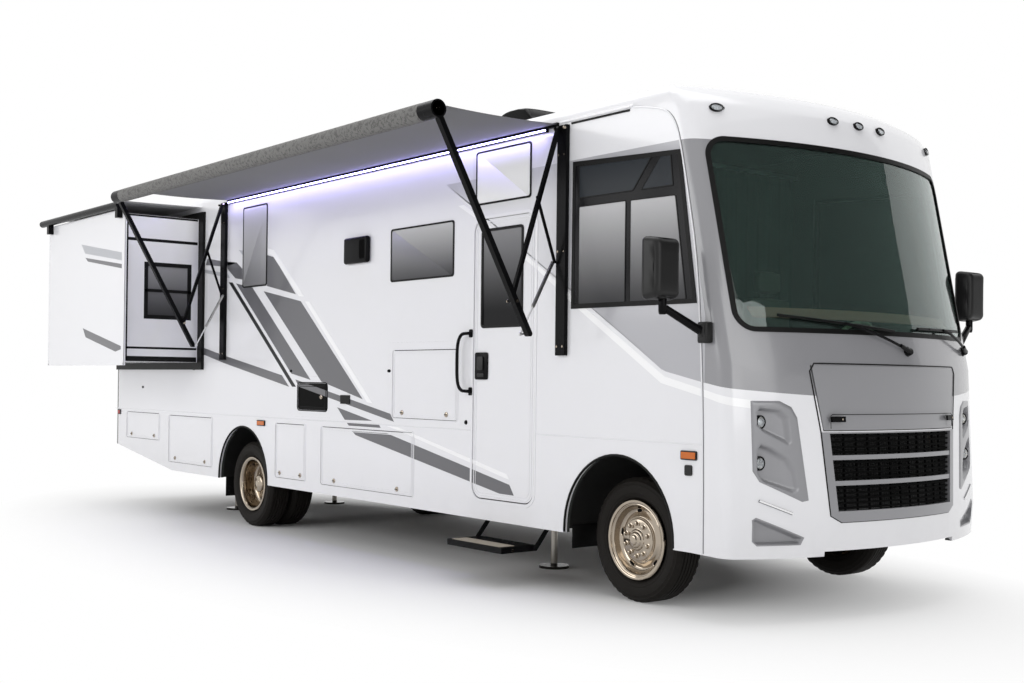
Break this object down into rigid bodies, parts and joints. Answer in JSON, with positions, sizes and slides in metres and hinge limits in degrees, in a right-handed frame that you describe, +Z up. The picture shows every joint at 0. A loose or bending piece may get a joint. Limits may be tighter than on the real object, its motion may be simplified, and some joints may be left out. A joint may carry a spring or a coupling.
{
  "type": "motorhome",
  "caption": "Boxy motorhome parked with slide-out, side awning, entry step and levelling jacks set out; luggage doors, windows and a wide windshield.",
  "frame": {"origin": "on the ground, on the centreline, under the front axle", "axes": "+X forward, +Y to the driver side (left), +Z up"},
  "size_m": [9.912, 4.1303, 3.69],
  "materials": {
    "gelcoat_white": "gloss white",
    "chassis_black": "satin black",
    "tyre": "black rubber",
    "polished_steel": "polished",
    "glass": "tinted",
    "black_trim": "satin black",
    "silver": "metallic silver",
    "lamp": "clear",
    "awning_black": "powder-coated black",
    "awning_cloth": "grey mottled",
    "topper_cloth": "white",
    "interior": "textured",
    "seat": "brown",
    "wood_floor": "satin",
    "steel": "plated",
    "engine": "plain"
  },
  "bodies": {
    "coach": {"awning_fabric": "awning_cloth", "awning_masts": "awning_black", "cab_seats": "seat", "chassis_frame": "chassis_black", "dashboard": "interior", "engine_block": "engine", "floor": "wood_floor", "front_axle": "chassis_black", "front_cap": "gelcoat_white", "grille_frame": "silver", "grille_slats": "black_trim", "lamps": "lamp", "left_side_wall": "gelcoat_white", "lockers": "chassis_black", "mirrors": "black_trim", "rear_axle": "chassis_black", "rear_wall": "gelcoat_white", "right_side_wall": "gelcoat_white", "roof_air_conditioner": "black_trim", "roof_shell": "gelcoat_white", "slide_topper_fabric": "topper_cloth", "wall_trim": "black_trim", "wheel_arch_liners": "black_trim", "window_glass": "glass"},
    "awning_inner": {"awning_inner_arms": "awning_black"},
    "awning_outer": {"awning_outer_arms": "awning_black"},
    "awning_links": {"awning_links": "awning_black"},
    "awning_barrels": {"awning_strut_barrels": "awning_black"},
    "awning_rods": {"awning_strut_rods": "steel"},
    "entry_door": {"entry_door": "gelcoat_white", "entry_door_glass": "glass"},
    "service_hood": {"service_hood": "silver"},
    "step_arms": {"step_arms": "chassis_black"},
    "step_tread": {"step_tread": "chassis_black"},
    "slide_room": {"slide_room": "gelcoat_white", "slide_room_glass": "glass", "slide_topper_roller": "black_trim"},
    "front_jack_legs": {"front_jack_legs": "steel"},
    "rear_jack_legs": {"rear_jack_legs": "steel"},
    "right_knuckle": {"right_knuckle": "chassis_black"},
    "left_knuckle": {"left_knuckle": "chassis_black"},
    "tie_rod": {"tie_rod": "chassis_black"},
    "front_right_wheel": {"front_right_wheel": "polished_steel", "front_right_tyre": "tyre"},
    "front_left_wheel": {"front_left_wheel": "polished_steel", "front_left_tyre": "tyre"},
    "rear_right_wheels": {"rear_right_wheels": "polished_steel", "rear_right_tyres": "tyre"},
    "rear_left_wheels": {"rear_left_wheels": "polished_steel", "rear_left_tyres": "tyre"},
    "roof_vent_lid": {"roof_vent_lid": "black_trim"},
    "left_bay_front_door": {"left_bay_front_door": "gelcoat_white"},
    "left_bay_middle_door": {"left_bay_middle_door": "gelcoat_white"},
    "left_bay_rear_door": {"left_bay_rear_door": "gelcoat_white"},
    "right_bay_long_door": {"right_bay_long_door": "gelcoat_white"},
    "right_bay_narrow_door": {"right_bay_narrow_door": "gelcoat_white"},
    "right_bay_rear_door": {"right_bay_rear_door": "gelcoat_white"},
    "right_kitchen_hatch": {"right_kitchen_hatch": "gelcoat_white"},
    "right_rear_locker_door": {"right_rear_locker_door": "gelcoat_white"},
    "right_utility_hatch": {"right_utility_hatch": "black_trim"}
  },
  "joints": [
    {"name": "awning_fold", "type": "hinge", "parent": "coach", "child": "awning_inner", "pos_m": [0, -1.332, 3.126], "axis": [1, 0, 0], "range_deg": [0, 16.6], "deforming": ["awning_fabric"]},
    {"name": "awning_elbow", "type": "hinge", "parent": "awning_inner", "child": "awning_outer", "pos_m": [0, -1.717, 1.946], "axis": [-1, 0, 0], "range_deg": [-1, 45]},
    {"name": "awning_link_pivot", "type": "hinge", "parent": "awning_inner", "child": "awning_links", "pos_m": [0, -1.48709, 2.65066], "axis": [-1, 0, 0], "range_deg": [-1, 36.5]},
    {"name": "awning_strut_pivot", "type": "hinge", "parent": "awning_links", "child": "awning_barrels", "pos_m": [0, -1.332, 2.229], "axis": [1, 0, 0], "range_deg": [-1, 46]},
    {"name": "awning_strut_slide", "type": "slide", "parent": "awning_barrels", "child": "awning_rods", "axis": [0, -0.4791, -0.8778], "range_m": [-0.032, 0.002]},
    {"name": "entry_door_hinge", "type": "hinge", "parent": "coach", "child": "entry_door", "pos_m": [-0.8583, -1.2825, 1.58], "axis": [0, 0, 1], "range_deg": [0, 100]},
    {"name": "service_hood_hinge", "type": "hinge", "parent": "coach", "child": "service_hood", "pos_m": [1.2168, 0, 1.5417], "axis": [0, -1, 0], "range_deg": [0, 70]},
    {"name": "step_fold", "type": "hinge", "parent": "coach", "child": "step_arms", "pos_m": [0, -1.08, 0.46], "axis": [1, 0, 0], "range_deg": [0, 95]},
    {"name": "step_level", "type": "hinge", "parent": "step_arms", "child": "step_tread", "pos_m": [0, -1.24, 0.264], "axis": [1, 0, 0], "range_deg": [-95, 0]},
    {"name": "slide_out", "type": "slide", "parent": "coach", "child": "slide_room", "axis": [0, 1, 0], "range_m": [0, 0.754], "deforming": ["slide_topper_fabric"]},
    {"name": "front_jacks", "type": "slide", "parent": "coach", "child": "front_jack_legs", "axis": [0, 0, 1], "range_m": [0, 0.3]},
    {"name": "rear_jacks", "type": "slide", "parent": "coach", "child": "rear_jack_legs", "axis": [0, 0, 1], "range_m": [0, 0.3]},
    {"name": "steer_right", "type": "hinge", "parent": "coach", "child": "right_knuckle", "pos_m": [0, -0.8755, 0.405], "axis": [0, 0, 1], "range_deg": [-35, 35]},
    {"name": "steer_left", "type": "hinge", "parent": "coach", "child": "left_knuckle", "pos_m": [0, 0.8755, 0.405], "axis": [0, 0, 1], "range_deg": [-35, 35]},
    {"name": "tie_rod_end", "type": "hinge", "parent": "right_knuckle", "child": "tie_rod", "pos_m": [-0.18, -0.8755, 0.265], "axis": [0, 0, 1], "range_deg": [-35, 35]},
    {"name": "front_right_wheel_spin", "type": "hinge", "parent": "right_knuckle", "child": "front_right_wheel", "pos_m": [0, -1.0125, 0.405], "axis": [0, 1, 0], "continuous": true},
    {"name": "rear_right_wheels_spin", "type": "hinge", "parent": "coach", "child": "rear_right_wheels", "pos_m": [-5.283, -0.967, 0.405], "axis": [0, 1, 0], "continuous": true},
    {"name": "front_left_wheel_spin", "type": "hinge", "parent": "left_knuckle", "child": "front_left_wheel", "pos_m": [0, 1.0125, 0.405], "axis": [0, 1, 0], "continuous": true},
    {"name": "rear_left_wheels_spin", "type": "hinge", "parent": "coach", "child": "rear_left_wheels", "pos_m": [-5.283, 0.967, 0.405], "axis": [0, 1, 0], "continuous": true},
    {"name": "roof_vent_hinge", "type": "hinge", "parent": "coach", "child": "roof_vent_lid", "pos_m": [-3.695, 0, 3.3805], "axis": [0, 1, 0], "range_deg": [0, 60]},
    {"name": "right_rear_locker_door_hinge", "type": "hinge", "parent": "coach", "child": "right_rear_locker_door", "pos_m": [-7.7575, -1.2825, 1.0297], "axis": [-1, 0, 0], "range_deg": [0, 85]},
    {"name": "right_bay_rear_door_hinge", "type": "hinge", "parent": "coach", "child": "right_bay_rear_door", "pos_m": [-6.514, -1.2825, 1.0217], "axis": [-1, 0, 0], "range_deg": [0, 85]},
    {"name": "right_bay_narrow_door_hinge", "type": "hinge", "parent": "coach", "child": "right_bay_narrow_door", "pos_m": [-4.356, -1.2825, 1.0147], "axis": [-1, 0, 0], "range_deg": [0, 85]},
    {"name": "right_bay_long_door_hinge", "type": "hinge", "parent": "coach", "child": "right_bay_long_door", "pos_m": [-3.075, -1.2825, 1.0117], "axis": [-1, 0, 0], "range_deg": [0, 85]},
    {"name": "left_bay_rear_door_hinge", "type": "hinge", "parent": "coach", "child": "left_bay_rear_door", "pos_m": [-6.514, 1.2825, 1.0217], "axis": [1, 0, 0], "range_deg": [0, 85]},
    {"name": "left_bay_middle_door_hinge", "type": "hinge", "parent": "coach", "child": "left_bay_middle_door", "pos_m": [-4.0185, 1.2825, 1.0147], "axis": [1, 0, 0], "range_deg": [0, 85]},
    {"name": "left_bay_front_door_hinge", "type": "hinge", "parent": "coach", "child": "left_bay_front_door", "pos_m": [-1.775, 1.2825, 1.0117], "axis": [1, 0, 0], "range_deg": [0, 85]},
    {"name": "right_kitchen_hatch_hinge", "type": "hinge", "parent": "coach", "child": "right_kitchen_hatch", "pos_m": [-2.215, -1.2825, 1.6597], "axis": [-1, 0, 0], "range_deg": [0, 85]},
    {"name": "right_utility_hatch_hinge", "type": "hinge", "parent": "coach", "child": "right_utility_hatch", "pos_m": [-3.9625, -1.2825, 1.3837], "axis": [-1, 0, 0], "range_deg": [0, 85]}
  ],
  "couplings": [
    {"joint": "awning_elbow", "follows": "awning_fold", "ratio": 2.631},
    {"joint": "awning_link_pivot", "follows": "awning_fold", "ratio": 2.118},
    {"joint": "awning_strut_pivot", "follows": "awning_fold", "ratio": 2.684},
    {"joint": "awning_strut_slide", "follows": "awning_fold", "m_per_rad": -0.1018},
    {"joint": "step_level", "follows": "step_fold", "ratio": -1},
    {"joint": "steer_left", "follows": "steer_right", "ratio": 1},
    {"joint": "tie_rod_end", "follows": "steer_right", "ratio": -1}
  ]
}
